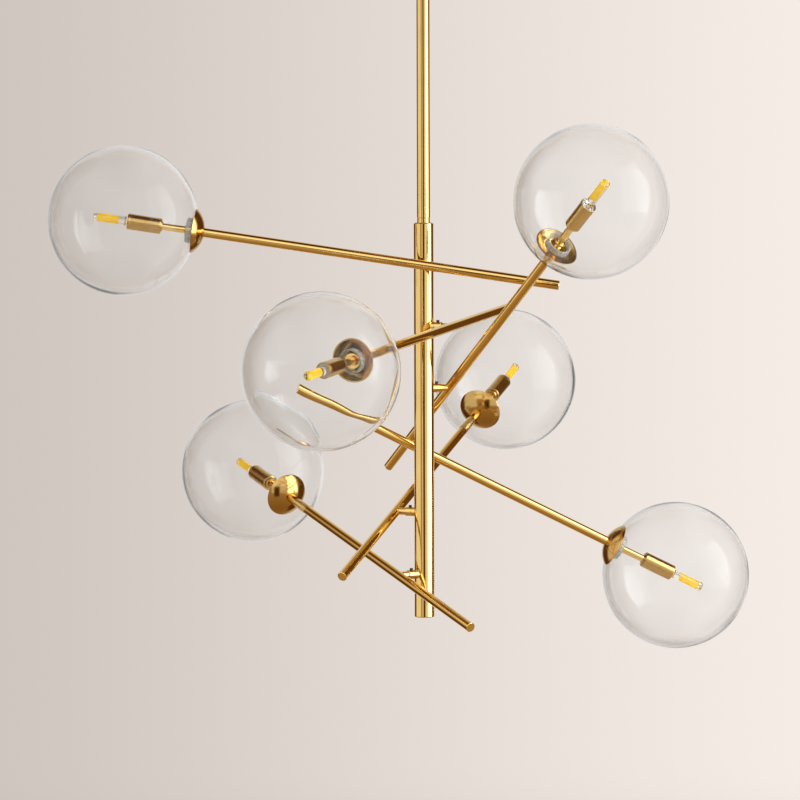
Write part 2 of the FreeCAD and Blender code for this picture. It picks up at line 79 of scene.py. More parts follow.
NEAR = 0.05 * MM            # points no further apart than this share a radius or a height
NEXT_STEP = 0.1 * MM        # the next step of a turning lies further on than this
WITHIN_WALL = 0.5 * MM      # less than a globe's wall, so it tells one skin from the other
SKINS_FROM = 0.9            # share of a globe's radius beyond which only its skins lie


def points_of(node):
    """Corner points of a carried node, as rows of an array."""
    flat = np.zeros(3 * len(NODES[node].data.vertices), np.float32)
    NODES[node].data.vertices.foreach_get("co", flat)
    return flat.reshape(-1, 3).astype(float)


def sphere_through(points):
    """Centre and radius of the sphere nearest to the points."""
    columns = np.column_stack((2 * points, np.ones(len(points))))
    answer = np.linalg.lstsq(columns, (points ** 2).sum(axis=1), rcond=None)[0]
    centre = answer[:3]
    return centre, math.sqrt(answer[3] + centre @ centre)


def globe_skins(number):
    """Centre, outer radius and inner radius of a globe."""
    points = points_of("glass_globe_%d" % number)
    middle = (points.min(axis=0) + points.max(axis=0)) / 2
    reach = np.linalg.norm(points - middle, axis=1)
    outer = points[reach > reach.max() - WITHIN_WALL]
    centre, radius = sphere_through(outer)
    far = np.linalg.norm(points - centre, axis=1)
    inside = far[(far < radius - WITHIN_WALL) & (far > SKINS_FROM * radius)]
    return Vector(centre), radius, float(np.median(inside))


def arm_place(number):
    """Matrix of an arm's own space: origin at its pivot, +Z to the globe, +X off the column."""
    joint = JOINTS["arm_%d_tilt" % number]
    pivot = Vector(joint["pos_m"])
    outward = -Vector(joint["axis"]).normalized()
    along = globe_skins(number)[0] - pivot
    along = (along - along.dot(outward) * outward).normalized()
    side = along.cross(outward)
    turn = Matrix((outward, side, along)).transposed()
    return Matrix.Translation(pivot) @ turn.to_4x4()


PLACES = {number: arm_place(number) for number in ARMS}


def turned_outline(kind, number):
    """Radii and heights of the points of an arm's turned node, in the arm's own space."""
    to_arm = np.array(PLACES[number].inverted())
    points = points_of("%s_%d" % (kind, number)) @ to_arm[:3, :3].T + to_arm[:3, 3]
    return np.hypot(points[:, 0], points[:, 1]), points[:, 2]


def ends_of(kind, number):
    """Lowest height, highest height and largest radius of a turned node."""
    radii, heights = turned_outline(kind, number)
    return float(heights.min()), float(heights.max()), float(radii.max())


def radius_near(kind, number, height):
    """Smallest and largest radius that a turned node has at a height."""
    radii, heights = turned_outline(kind, number)
    there = radii[np.abs(heights - height) < NEAR]
    return float(there.min()), float(there.max())


# ---- Sizes, colours and the studio, as a user would set them ------------------------

def length(name, text, size_mm, low_mm=0.0, high_mm=500.0):
    """A length in millimetres, shown in Blender's own units."""
    return FloatProperty(
        name=name, description=text, default=size_mm * MM, min=low_mm * MM, max=high_mm * MM,
        unit="LENGTH", precision=5)


def colour(name, text, red, green, blue):
    """A linear colour."""
    return FloatVectorProperty(
        name=name, description=text, default=(red, green, blue), min=0.0, max=1.0,
        size=3, subtype="COLOR")


def share(name, text, value, high=1.0):
    """A plain factor."""
    return FloatProperty(name=name, description=text, default=value, min=0.0, max=high)


def angle(name, text, degrees):
    """An angle in degrees, kept in radians."""
    return FloatProperty(
        name=name, description=text, default=math.radians(degrees), subtype="ANGLE")


class ChandelierFinishes(bpy.types.PropertyGroup):
    """Colours and polish of the metals, glass and lamps."""
    polished_brass: colour(
        "Polished brass", "Rod, column, arms, stems and canopy", 0.87, 0.60, 0.21)
    satin_brass: colour("Satin brass", "Turned cups and sleeves", 0.60, 0.385, 0.13)
    aged_brass: colour("Aged brass", "Tone of smudges and worn polish", 0.55, 0.33, 0.10)
    polished_roughness: share("Polished roughness", "Roughness of polished brass", 0.06)
    satin_roughness: share("Satin roughness", "Roughness of turned brass", 0.14)
    spun_grain: share("Spun grain", "How far turning marks stretch a highlight", 0.60)
    glass_tint: colour("Glass tint", "Colour of a globe's glass", 0.974, 0.984, 0.990)
    glass_sheen: share("Glass sheen", "How strongly a globe mirrors the studio, face on", 0.22)
    ground_glass: colour("Ground glass", "Colour of the globe's collar", 0.84, 0.84, 0.82)
    lamp_glass: colour("Lamp glass", "Clear envelope of the lamps", 0.98, 0.98, 0.98)
    phosphor: colour("Phosphor", "Coating of the lamp's light strip", 0.95, 0.58, 0.02)
    ceramic: colour("Ceramic", "Glazed lamp holder", 0.80, 0.78, 0.73)
    dark_steel: colour("Dark steel", "Blackened cap screws", 0.07, 0.055, 0.045)
    zinc_steel: colour("Zinc steel", "Plated strap and lock nut", 0.62, 0.63, 0.64)
    lead_wire: colour("Lead wire", "Lead wires and pins of the lamps", 0.75, 0.74, 0.72)


class ChandelierGlobes(bpy.types.PropertyGroup):
    """How the blown globes depart from a perfect sphere."""
    ripple: length("Ripple", "How much the wall's thickness wanders", 0.35)
    ripple_size: length("Ripple size", "Distance over which the wall wanders", 38.0)
    skin: length("Skin wave", "How far the outer skin dips", 0.05)
    lip: length("Lip", "Fire-polished rounding of the collar's end", 0.9)
    hole_edge: length("Hole edge", "Rounding of the hole round the stem", 0.4)
    seed_depth: length("Seed depth", "Depth of the small marks in the glass", 0.02)
    around: IntProperty(name="Around", description="Sides round a globe", default=128, min=24)


class ChandelierTurnings(bpy.types.PropertyGroup):
    """Small forms on the turned and machined brass."""
    lip: length("Cup lip", "Rounding of a cup's rim", 0.5)
    mouth: length("Mouth edge", "Rounding of a sleeve's open end", 0.35)
    edge: length("Broken edge", "Rounding of small turned edges", 0.2)
    band_width: length("Band width", "Width of a turned line on a sleeve", 0.25)
    band_depth: length("Band depth", "Depth of a turned line on a sleeve", 0.08)
    band_setback: length("Band setback", "From the sleeve's mouth to its turned line", 2.2)
    thumb_flutes: IntProperty(
        name="Thumb flutes", description="Grooves round a thumb screw's head", default=24, min=6)
    flute_depth: length("Flute depth", "Depth of a thumb screw's grooves", 0.25)
    key_flats: length("Key flats", "Width of a cap screw's hexagon socket", 1.5)
    key_depth: length("Key depth", "Depth of a cap screw's hexagon socket", 1.0)
    around: IntProperty(name="Around", description="Sides round a turned piece", default=96, min=24)


class ChandelierLamps(bpy.types.PropertyGroup):
    """The two-pin capsule lamps."""
    glass_wall: length("Glass wall", "Wall of the clear envelope", 0.7)
    strip_width: length("Strip width", "Width of the light strip", 5.0)
    strip_length: length("Strip length", "Length of the light strip", 22.0)
    strip_thickness: length("Strip thickness", "Thickness of the coated strip", 1.5)
    strip_from_tip: length("Strip from tip", "From the strip's end to the lamp's tip", 4.0)
    wire: length("Lead wire", "Diameter of the lead wires", 0.5)
    wire_spacing: length("Lead spacing", "Between the two lead wires", 3.2)
    wire_overlap: length("Lead overlap", "Length of a lead on the strip", 2.2)
    hook_width: length("Hook width", "Width of the wire hook beyond the strip", 2.8)
    pin: length("Pin", "Diameter of a pin", 0.8)
    pin_spacing: length("Pin spacing", "Between the two pins", 4.0)
    pinch_width: length("Pinch width", "Width of the flattened glass foot", 8.2)
    pinch_thickness: length("Pinch thickness", "Thickness of the flattened glass foot", 3.6)
    glow: share("Glow", "Light that the strip gives off by itself", 0.50, 5.0)


class ChandelierStudio(bpy.types.PropertyGroup):
    """Camera, backdrop and lamps of the studio."""
    # The backdrop's two colours hold painted shade and light: darker at the left and brighter at
    # the right, as if lit from the right
    backdrop_shaded_left: colour("Backdrop shaded left", "Backdrop's colour at the left", 0.590, 0.532, 0.489)
    backdrop_lit_right: colour("Backdrop lit right", "Backdrop's colour at the right", 0.960, 0.885, 0.830)
    backdrop_turn: share("Backdrop turn", "Sideways lean over which its tone turns", 0.16)
    floor: colour("Floor", "Pale floor", 0.77, 0.71, 0.67)
    floor_drop: length("Floor drop", "Floor below the ceiling", 2400.0, 0.0, 9000.0)
    floor_radius: length("Floor radius", "Edge of the floor", 12000.0, 0.0, 50000.0)
    fill: share("Fill", "Plain light from all round", 0.55, 5.0)
    rim_light: share("Rim light", "How far light inside a glass wall shows the backdrop", 0.75)
    key_turn: angle("Key turn", "Key lamp's turn from the camera, to the right", 79.0)
    key_rise: angle("Key rise", "Key lamp's height above the object", 13.0)
    key_distance: length("Key distance", "Key lamp from the object", 3000.0, 0.0, 9000.0)
    key_width: length("Key width", "Key lamp's width", 1700.0, 0.0, 9000.0)
    key_height: length("Key height", "Key lamp's height", 2600.0, 0.0, 9000.0)
    key_radiance: share("Key radiance", "How bright the key lamp's face is", 3.2, 20.0)
    camera_distance: length("Camera distance", "Camera from the column", 4200.0, 0.0, 9000.0)
    camera_drop: length("Camera drop", "Camera below the ceiling", 288.0)
    camera_pitch: angle("Camera pitch", "Camera's tilt, upward positive", -3.121)
    camera_yaw: angle("Camera yaw", "Camera's turn, to the right positive", -0.328)
    camera_roll: angle("Camera roll", "Camera's lean", -0.166)
    lens_pixels: share("Lens", "Focal length in widths of one picture point", 4195.0, 9000.0)
    picture_pixels: share("Picture", "Width and height of the picture in points", 800.0, 9000.0)


# ---- Mesh helpers -------------------------------------------------------------------

ON_AXIS = 1e-7              # a radius below this, in metres, is a point on the axis
NO_CORNER = 1e-4            # a bend of less than this, in radians, is left as it is
MOST_OF_A_SIDE = 0.48       # most of a side's length that the arc at one end may take
SUPPORT = 0.12              # from an arc to its support point, as a share of the arc's reach
ROOM_FOR_SUPPORT = 2.2      # a side has support points if it is this many times both
NO_LENGTH = 1e-9            # a shorter spoke than this, in metres, has no direction
BOX_EDGE_STEPS = 3          # facets across a box's rounded edge


def softened(corners, step=math.radians(15)):
    """Closed outline of (radius, height) from (radius, height, rounding) corners.

    A support point stands close beside each arc, so that long faces keep a straight shade.
    """
    outline = []
    count = len(corners)
    for index, (radius, height, rounding) in enumerate(corners):
        here = Vector((radius, height))
        before = Vector(corners[index - 1][:2]) - here
        after = Vector(corners[(index + 1) % count][:2]) - here
        turn = before.angle(after)
        if rounding <= 0 or turn > math.pi - NO_CORNER:
            outline.append(tuple(here))
            continue
        most = MOST_OF_A_SIDE * min(before.length, after.length)
        reach = min(rounding / math.tan(turn / 2), most)
        round_by = reach * math.tan(turn / 2)
        middle = (before.normalized() + after.normalized()).normalized()
        centre = here + middle * (round_by / math.sin(turn / 2))
        start = here + before.normalized() * reach
        finish = here + after.normalized() * reach
        sweep = math.pi - turn
        steps = max(2, math.ceil(sweep / step))
        sense = 1 if (start - centre).cross(finish - centre) > 0 else -1
        gap = SUPPORT * reach
        if before.length > ROOM_FOR_SUPPORT * (reach + gap):
            outline.append(tuple(start + before.normalized() * gap))
        for part in range(steps + 1):
            lean = sense * sweep * part / steps
            spoke = Matrix.Rotation(lean, 2) @ (start - centre)
            outline.append(tuple(centre + spoke))
        if after.length > ROOM_FOR_SUPPORT * (reach + gap):
            outline.append(tuple(finish + after.normalized() * gap))
    return outline


def sphere_arc(centre, radius, first, last, steps):
    """(radius, height) points of a circle about the axis; angle 0 is its low pole."""
    points = []
    for part in range(steps + 1):
        lean = first + (last - first) * part / steps
        points.append((abs(radius * math.sin(lean)), centre - radius * math.cos(lean)))
    return points


def turned(outline, around, placed=Matrix.Identity(4), build=None):
    """Bmesh with a closed solid turned about Z from (radius, height) points, added to what it had.

    A point on the axis is shared. A point's third value, where it has one, is a form: the
    share of its radius at an angle.
    """
    build = build or bmesh.new()
    rings = []
    for radius, height, *form in outline:
        if radius < ON_AXIS:
            rings.append([build.verts.new(placed @ Vector((0, 0, height)))])
            continue
        ring = []
        for side in range(around):
            lean = 2 * math.pi * side / around
            reach = radius * (form[0](lean) if form else 1.0)
            corner = Vector((reach * math.cos(lean), reach * math.sin(lean), height))
            ring.append(build.verts.new(placed @ corner))
        rings.append(ring)
    for low, high in zip(rings, rings[1:] + rings[:1]):
        join_rings(build, low, high, around)
    bmesh.ops.recalc_face_normals(build, faces=build.faces)
    return build


def join_rings(build, low, high, around):
    """Faces between two rings, or from a ring to a point on the axis."""
    for side in range(around):
        following = (side + 1) % around
        if len(low) == 1 and len(high) == 1:
            return
        if len(low) == 1:
            build.faces.new((low[0], high[following], high[side]))
        elif len(high) == 1:
            build.faces.new((low[side], low[following], high[0]))
        else:
            build.faces.new((low[side], low[following], high[following], high[side]))


def finished(name, build):
    """Object from a bmesh, shaded smooth between sharp edges."""
    mesh = bpy.data.meshes.new(name)
    build.to_mesh(mesh)
    build.free()
    mesh.shade_smooth()
    mesh.set_sharp_from_angle(angle=SHARP_EDGE)
    piece = bpy.data.objects.new(name, mesh)
    bpy.context.scene.collection.objects.link(piece)
    return piece


def rounded_box(size, height, rounding):
    """Bmesh with a box that has rounded edges, its middle on the Z axis at a height."""
    build = bmesh.new()
    bmesh.ops.create_cube(build, size=1.0)
    for vert in build.verts:
        vert.co = Vector((0, 0, height)) + Vector(v * s for v, s in zip(vert.co, size))
    bmesh.ops.bevel(build, geom=build.edges[:], offset=rounding, segments=BOX_EDGE_STEPS,
                    affect="EDGES", profile=0.5)
    return build


def tube_along(build, points, radius, sides=16):
    """Closed round wire through the points, added to a bmesh."""
    rings = []
    for index, point in enumerate(points):
        ahead = points[min(index + 1, len(points) - 1)] - points[max(index - 1, 0)]
        turn = ahead.to_track_quat("Z", "Y")
        ring = []
        for side in range(sides):
            lean = 2 * math.pi * side / sides
            spoke = Vector((radius * math.cos(lean), radius * math.sin(lean), 0))
            ring.append(build.verts.new(point + turn @ spoke))
        rings.append(ring)
    for low, high in zip(rings, rings[1:]):
        join_rings(build, low, high, sides)
    build.faces.new(reversed(rings[0]))
    build.faces.new(rings[-1])


def dress(piece, *materials):
    """Puts materials in a piece's slots, in order."""
    piece.data.materials.clear()
    for material in materials:
        piece.data.materials.append(material)


def cover(node, material):
    """Puts one material in every slot of a carried node."""
    mesh = NODES[node].data
    if not mesh.materials:
        mesh.materials.append(material)
    for index in range(len(mesh.materials)):
        mesh.materials[index] = material


def seat(piece, number, kind):
    """Moves a piece from the bench to its arm, where it rides and stands for the arm's node.

    Its finish still reads the place and the lathe's direction that it had on the bench.
    """
    mesh = piece.data
    own = np.zeros(3 * len(mesh.vertices), np.float32)
    mesh.vertices.foreach_get("co", own)
    place = own.reshape(-1, 3)
    around = np.column_stack((-place[:, 1], place[:, 0], np.zeros(len(place))))
    around /= np.maximum(np.linalg.norm(around, axis=1, keepdims=True), NO_LENGTH)
    around = around @ np.array(PLACES[number].to_3x3()).T
    for name, rows in (("bench", own), ("lathe_line", around.astype(np.float32).ravel())):
        mesh.attributes.new(name, "FLOAT_VECTOR", "POINT").data.foreach_set("vector", rows)
    mesh.transform(PLACES[number])
    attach(piece, "arm_%d" % number)
    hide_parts("%s_%d" % (kind, number))


# ---- Shader groups that several finishes share --------------------------------------

COLOUR_MIX_INPUTS = (0, 6, 7)   # a Mix node's factor and two colours, among its many inputs
COLOUR_MIX_OUTPUT = 2
SMUDGE_BAND = (0.42, 0.72)      # cloud noise below is clean, and above it is fully smudged
SPECK_RIM = (0.16, 0.06)        # a speck grows from its rim to its heart, in cell widths
CELLS_WITHOUT_SPECK = 0.86      # share of the cells
BREAK_FINENESS = 0.17           # how fine the breaks are, as a share of the lines
BREAK_BAND = (0.35, 0.65)       # noise below is whole polish, and above it is broken
TURN_DRIFT = 0.1 * MM           # how far the rings' noise drifts round the axis


def feed(node, **sockets):
    """Links sockets to a node's named inputs, or sets them to plain values."""
    for key, value in sockets.items():
        slot = node.inputs[key.replace("_", " ")]
        if isinstance(value, bpy.types.NodeSocket):
            node.id_data.links.new(value, slot)
        else:
            slot.default_value = value
    return node


def add(tree, kind, **settings):
    """A node with its settings; keys that are input names feed those inputs."""
    node = tree.nodes.new("ShaderNode" + kind)
    for key, value in settings.items():
        if hasattr(node, key):
            setattr(node, key, value)
        else:
            feed(node, **{key: value})
    return node


def maths(tree, operation, first, second=None):
    """A Math node on sockets or plain numbers; gives its output."""
    node = add(tree, "Math", operation=operation)
    for slot, value in zip(node.inputs, (first, second)):
        if isinstance(value, bpy.types.NodeSocket):
            tree.links.new(value, slot)
        elif value is not None:
            slot.default_value = value
    return node.outputs[0]


def remap(tree, value, low, high, to_low=0.0, to_high=1.0):
    """A smooth, clamped Map Range; gives its output."""
    node = add(tree, "MapRange", interpolation_type="SMOOTHSTEP", Value=value,
               From_Min=low, From_Max=high, To_Min=to_low, To_Max=to_high)
    return node.outputs["Result"]


def blend_colours(tree, factor, first, second):
    """A colour Mix of sockets or plain colours; gives its output."""
    node = add(tree, "Mix", data_type="RGBA")
    for index, value in zip(COLOUR_MIX_INPUTS, (factor, first, second)):
        if isinstance(value, bpy.types.NodeSocket):
            tree.links.new(value, node.inputs[index])
        else:
            node.inputs[index].default_value = (*value, 1.0)
    return node.outputs[COLOUR_MIX_OUTPUT]


def new_group(name, inputs, outputs):
    """Empty shader group with a Vector input and named sockets, and its inner ends."""
    group = bpy.data.node_groups.new(name, "ShaderNodeTree")
    group.interface.new_socket("Vector", in_out="INPUT", socket_type="NodeSocketVector")
    for socket, value in inputs.items():
        made = group.interface.new_socket(socket, in_out="INPUT", socket_type="NodeSocketFloat")
        made.default_value = value
    for socket, kind in outputs.items():
        group.interface.new_socket(socket, in_out="OUTPUT", socket_type="NodeSocket" + kind)
    return group, group.nodes.new("NodeGroupInput"), group.nodes.new("NodeGroupOutput")


def place_group(tree, make, vector, **values):
    """A node of a shared group, which is built once, fed with a vector and plain values."""
    name = make.__name__.replace("_", " ").capitalize()
    node = add(tree, "Group", node_tree=bpy.data.node_groups.get(name) or make(name))
    return feed(node, Vector=vector, **values)


def handling_marks(name):
    """Cloudy smudges and sparse specks, as a clean but handled surface has."""
    group, start, finish = new_group(
        name, {"Smudge fineness": 40.0, "Speck fineness": 900.0},
        {"Smudge": "Float", "Speck": "Float"})
    where = start.outputs["Vector"]
    cloud = add(group, "TexNoise", Detail=4.0, Roughness=0.6, Vector=where,
                Scale=start.outputs["Smudge fineness"])
    dots = add(group, "TexVoronoi", Vector=where, Scale=start.outputs["Speck fineness"])
    near = remap(group, dots.outputs["Distance"], *SPECK_RIM)
    cell = add(group, "SeparateColor", Color=dots.outputs["Color"])
    specked = maths(group, "GREATER_THAN", cell.outputs["Red"], CELLS_WITHOUT_SPECK)
    feed(finish, Smudge=remap(group, cloud.outputs["Fac"], *SMUDGE_BAND),
         Speck=maths(group, "MULTIPLY", near, specked))
    return group


def polishing_lines(name):
    """Very fine marks of a polishing wheel, which are lines where the vector is squeezed."""
    group, start, finish = new_group(
        name, {"Fineness": 1.0}, {"Lines": "Float", "Breaks": "Float"})
    where, fineness = start.outputs["Vector"], start.outputs["Fineness"]
    fine = add(group, "TexNoise", Detail=2.0, Roughness=0.7, Vector=where, Scale=fineness)
    broad = add(group, "TexNoise", Detail=1.0, Roughness=0.5, Vector=where,
                Scale=maths(group, "MULTIPLY", fineness, BREAK_FINENESS))
    feed(finish, Lines=fine.outputs["Fac"], Breaks=remap(group, broad.outputs["Fac"], *BREAK_BAND))
    return group


def lathe_space(name):
    """Radius, height and a little of the turn, so that noise runs round the axis as rings."""
    group, start, finish = new_group(name, {}, {"Rings": "Vector"})
    parts = add(group, "SeparateXYZ", Vector=start.outputs["Vector"])
    across = maths(group, "MULTIPLY", parts.outputs["X"], parts.outputs["X"])
    away = maths(group, "MULTIPLY", parts.outputs["Y"], parts.outputs["Y"])
    radius = maths(group, "SQRT", maths(group, "ADD", across, away))
    turn = maths(group, "ARCTAN2", parts.outputs["Y"], parts.outputs["X"])
    drift = maths(group, "MULTIPLY", maths(group, "SINE", turn), TURN_DRIFT)
    space = add(group, "CombineXYZ", X=radius, Y=parts.outputs["Z"], Z=drift)
    feed(finish, Rings=space.outputs["Vector"])
    return group


# ---- Finishes -----------------------------------------------------------------------

def chosen(group):
    """One group of settings as the user has set it, by its short name."""
    return getattr(bpy.context.scene, "chandelier_" + group)


def kept(make):
    """The material that a function makes, made once and named after it."""
    return bpy.data.materials.get(make.__name__) or make(make.__name__)


def new_finish(name, on_bench=False, **values):
    """Material with one Principled shader, its tree, and coordinates that stay with the piece."""
    material = bpy.data.materials.new(name)
    material.use_nodes = True
    tree = material.node_tree
    shader = feed(tree.nodes["Principled BSDF"], **values)
    if on_bench:
        where = add(tree, "Attribute", attribute_name="bench").outputs["Vector"]
    else:
        where = add(tree, "TexCoord").outputs["Object"]
    return material, tree, shader, where


def bump(tree, shader, height, depth):
    """A Bump node from a height socket to the shader's normal; depth in metres."""
    raised = add(tree, "Bump", Distance=depth, Height=height)
    feed(shader, Normal=raised.outputs["Normal"])


def clear_by(tree, shader, factor, tint=(1.0, 1.0, 1.0)):
    """Gives way to plain tinted clearness where the factor is 1."""
    clear = add(tree, "BsdfTransparent", Color=(*tint, 1.0))
    choice = add(tree, "MixShader")
    shown = (factor, shader.outputs["BSDF"], clear.outputs["BSDF"])
    for slot, value in zip(choice.inputs, shown):
        tree.links.new(value, slot)
    feed(tree.nodes["Material Output"], Surface=choice.outputs[0])


def let_lamps_through(tree, shader, tint):
    """Lets light from the lamps pass the glass, so that what is inside is lit plainly."""
    clear_by(tree, shader, add(tree, "LightPath").outputs["Is Shadow Ray"], tint)


def drawn_brass(name):
    """Drawn and polished tube: mirror-like, with a very fine grain and a warmer cloud."""
    smudge_tone = 0.16
    smudge_haze = 0.04
    worn_haze = 0.02
    grain_depth = 0.0001 * MM
    look = chosen("finishes")
    material, tree, shader, where = new_finish(name, Metallic=1.0)
    marks = place_group(tree, handling_marks, where, Smudge_fineness=28.0, Speck_fineness=700.0)
    lines = place_group(tree, polishing_lines, where, Fineness=2600.0)
    tone = maths(tree, "MULTIPLY", marks.outputs["Smudge"], smudge_tone)
    haze = maths(tree, "MULTIPLY", marks.outputs["Smudge"], smudge_haze)
    worn = maths(tree, "MULTIPLY", lines.outputs["Breaks"], worn_haze)
    feed(shader, Base_Color=blend_colours(tree, tone, look.polished_brass, look.aged_brass),
         Roughness=maths(tree, "ADD", maths(tree, "ADD", haze, worn), look.polished_roughness))
    bump(tree, shader, lines.outputs["Lines"], grain_depth)
    return material


def turned_brass(name):
    """Satin brass with rings from the lathe, which stretch the highlights round the axis."""
    ring_tone = 0.22
    smudge_tone = 0.14
    ring_haze = 0.10
    ring_depth = 0.0012 * MM
    look = chosen("finishes")
    material, tree, shader, where = new_finish(
        name, True, Metallic=1.0, Anisotropic=look.spun_grain)
    rings = place_group(tree, lathe_space, where)
    lines = place_group(tree, polishing_lines, rings.outputs["Rings"], Fineness=4200.0)
    marks = place_group(tree, handling_marks, where, Smudge_fineness=55.0, Speck_fineness=900.0)
    shade = maths(tree, "MULTIPLY", lines.outputs["Breaks"], ring_tone)
    smudge = maths(tree, "MULTIPLY", marks.outputs["Smudge"], smudge_tone)
    tone = maths(tree, "ADD", shade, smudge)
    rough = maths(tree, "MULTIPLY", lines.outputs["Lines"], ring_haze)
    smoothest = look.satin_roughness - ring_haze / 2
    grain = add(tree, "Attribute", attribute_name="lathe_line").outputs["Vector"]
    turn = add(tree, "VectorTransform", vector_type="VECTOR", convert_from="OBJECT",
               convert_to="WORLD", Vector=grain)
    feed(shader, Base_Color=blend_colours(tree, tone, look.satin_brass, look.aged_brass),
         Roughness=maths(tree, "ADD", rough, smoothest), Tangent=turn.outputs["Vector"])
    bump(tree, shader, lines.outputs["Lines"], ring_depth)
    return material


def steel(name, tint, roughness):
    """Bright, plated or blackened steel with faint marks."""
    smudge_tone = 0.35
    smudge_haze = 0.15
    pit_depth = 0.008 * MM
    dark = chosen("finishes").dark_steel
    material, tree, shader, where = new_finish(name, Metallic=1.0)
    marks = place_group(tree, handling_marks, where, Smudge_fineness=90.0, Speck_fineness=1500.0)
    tone = maths(tree, "MULTIPLY", marks.outputs["Smudge"], smudge_tone)
    haze = maths(tree, "MULTIPLY", marks.outputs["Smudge"], smudge_haze)
    feed(shader, Base_Color=blend_colours(tree, tone, tint, dark),
         Roughness=maths(tree, "ADD", haze, roughness))
    bump(tree, shader, marks.outputs["Speck"], pit_depth)
    return material


def blackened_steel(name):
    """Blackened cap screws."""
    return steel(name, chosen("finishes").dark_steel, roughness=0.32)


def plated_steel(name):
    """Zinc-plated strap and lock nut."""
    return steel(name, chosen("finishes").zinc_steel, roughness=0.36)


def bright_wire(name):
    """The lamps' drawn lead wires and pins."""
    return steel(name, chosen("finishes").lead_wire, roughness=0.22)


def blown_glass(name):
    """Clear blown glass: a thin film of haze in clouds, and a few seeds."""
    smudge_haze = 0.006
    seed_haze = 0.10
    look = chosen("finishes")
    sheen = (look.glass_sheen, look.glass_sheen, look.glass_sheen, 1.0)
    material, tree, shader, where = new_finish(
        name, True, Transmission_Weight=1.0, IOR=1.4, Base_Color=(*look.glass_tint, 1.0),
        Specular_Tint=sheen)
    marks = place_group(tree, handling_marks, where, Smudge_fineness=14.0, Speck_fineness=160.0)
    haze = maths(tree, "MULTIPLY", marks.outputs["Smudge"], smudge_haze)
    seed = maths(tree, "MULTIPLY", marks.outputs["Speck"], seed_haze)
    feed(shader, Roughness=maths(tree, "ADD", haze, seed))
    bump(tree, shader, marks.outputs["Speck"], chosen("globes").seed_depth)
    let_lamps_through(tree, shader, look.glass_tint)
    return material


def ground_glass(name):
    """Collar ground for its seat: frosted, with fine lines along the axis."""
    stretch = 0.06
    line_band = (0.3, 0.7)
    smooth, rough = 0.12, 0.42
    line_depth = 0.06 * MM
    look = chosen("finishes")
    material, tree, shader, where = new_finish(
        name, True, Transmission_Weight=0.65, IOR=1.5, Base_Color=(*look.ground_glass, 1.0))
    squeeze = add(tree, "Mapping", Scale=(1.0, 1.0, stretch), Vector=where)
    lines = place_group(tree, polishing_lines, squeeze.outputs["Vector"], Fineness=1500.0)
    feed(shader, Roughness=remap(tree, lines.outputs["Lines"], *line_band, smooth, rough))
    bump(tree, shader, lines.outputs["Lines"], line_depth)
    let_lamps_through(tree, shader, look.ground_glass)
    return material


def envelope_glass(name):
    """Thin clear lamp glass, with a slight bloom in clouds."""
    smudge_haze = 0.05
    look = chosen("finishes")
    material, tree, shader, where = new_finish(
        name, True, Transmission_Weight=1.0, IOR=1.4, Base_Color=(*look.lamp_glass, 1.0))
    marks = place_group(tree, handling_marks, where, Smudge_fineness=160.0, Speck_fineness=1200.0)
    feed(shader, Roughness=maths(tree, "MULTIPLY", marks.outputs["Smudge"], smudge_haze))
    let_lamps_through(tree, shader, look.lamp_glass)
    return material


def phosphor(name):
    """Yellow silicone over the light strip, slightly grainy, with a little glow of its own."""
    deepest = 0.72
    smudge_tone = 0.5
    grain_depth = 0.06 * MM
    look = chosen("finishes")
    material, tree, shader, where = new_finish(
        name, True, Roughness=0.42, Emission_Strength=chosen("lamps").glow)
    marks = place_group(tree, handling_marks, where, Smudge_fineness=260.0, Speck_fineness=2500.0)
    deep = tuple(channel * deepest for channel in look.phosphor)
    tone = maths(tree, "MULTIPLY", marks.outputs["Smudge"], smudge_tone)
    yellow = blend_colours(tree, tone, look.phosphor, deep)
    feed(shader, Base_Color=yellow, Emission_Color=yellow)
    bump(tree, shader, marks.outputs["Smudge"], grain_depth)
    return material


def glazed_ceramic(name):
    """White glazed holder, uneven in tone, with pinholes."""
    darkest = 0.8
    smudge_tone = 0.4
    smooth, rough = 0.28, 0.42
    pinhole_depth = 0.02 * MM
    look = chosen("finishes")
    material, tree, shader, where = new_finish(name, Coat_Weight=0.4, Coat_Roughness=0.12)
    marks = place_group(tree, handling_marks, where, Smudge_fineness=180.0, Speck_fineness=1600.0)
    smudge, speck = marks.outputs["Smudge"], marks.outputs["Speck"]
    shade = tuple(channel * darkest for channel in look.ceramic)
    tone = maths(tree, "MAXIMUM", maths(tree, "MULTIPLY", smudge, smudge_tone), speck)
    feed(shader, Base_Color=blend_colours(tree, tone, look.ceramic, shade),
         Roughness=remap(tree, smudge, 0.0, 1.0, smooth, rough))
    bump(tree, shader, speck, pinhole_depth)
    return material


# ---- Pieces -------------------------------------------------------------------------

GLOBE_STEPS = 96                # along a globe's skin, from its hole to the far pole
FLOOR_STEPS = 4                 # across the little floor inside the collar
COLLAR_WITHIN = 0.2             # share of a globe's radius that holds its collar
FROST_WITHIN = 1.2              # share of the collar's radius that is ground
RIPPLE_FROM, RIPPLE_FULL = 0.25, 0.8    # radians from the collar over which the ripple grows
RIPPLE_SHIFT = 7.3              # keeps the globes' ripples apart
CUP_STEPS = 28
DOME = 0.92                     # rounding of a lamp's tip, as a share of its radius
DOME_STEP = math.radians(7.5)
LAMP_SIDES = 64
WIRE_SIDES = 12
HOOK_STEPS = 12
HOOK_SUNK = 0.2 * MM            # how far the hook's ends stand in the strip
PINCH_ROUNDING = 0.24           # share of the foot's thickness
STRIP_ROUNDING = 0.3            # share of the strip's thickness
SCREW_ABOVE = 8 * MM            # a cap screw lies within this of its arm's pivot, above it
SCREW_SIDES = 48
SOCKET_RIM = 1.12               # a hexagon socket's round rim, in corner radii
DRILL_POINT = 1.2               # depth of a socket's drill point, in socket depths
HEAD_CHAMFER = 0.5 * MM         # on the carried thumb screws' heads
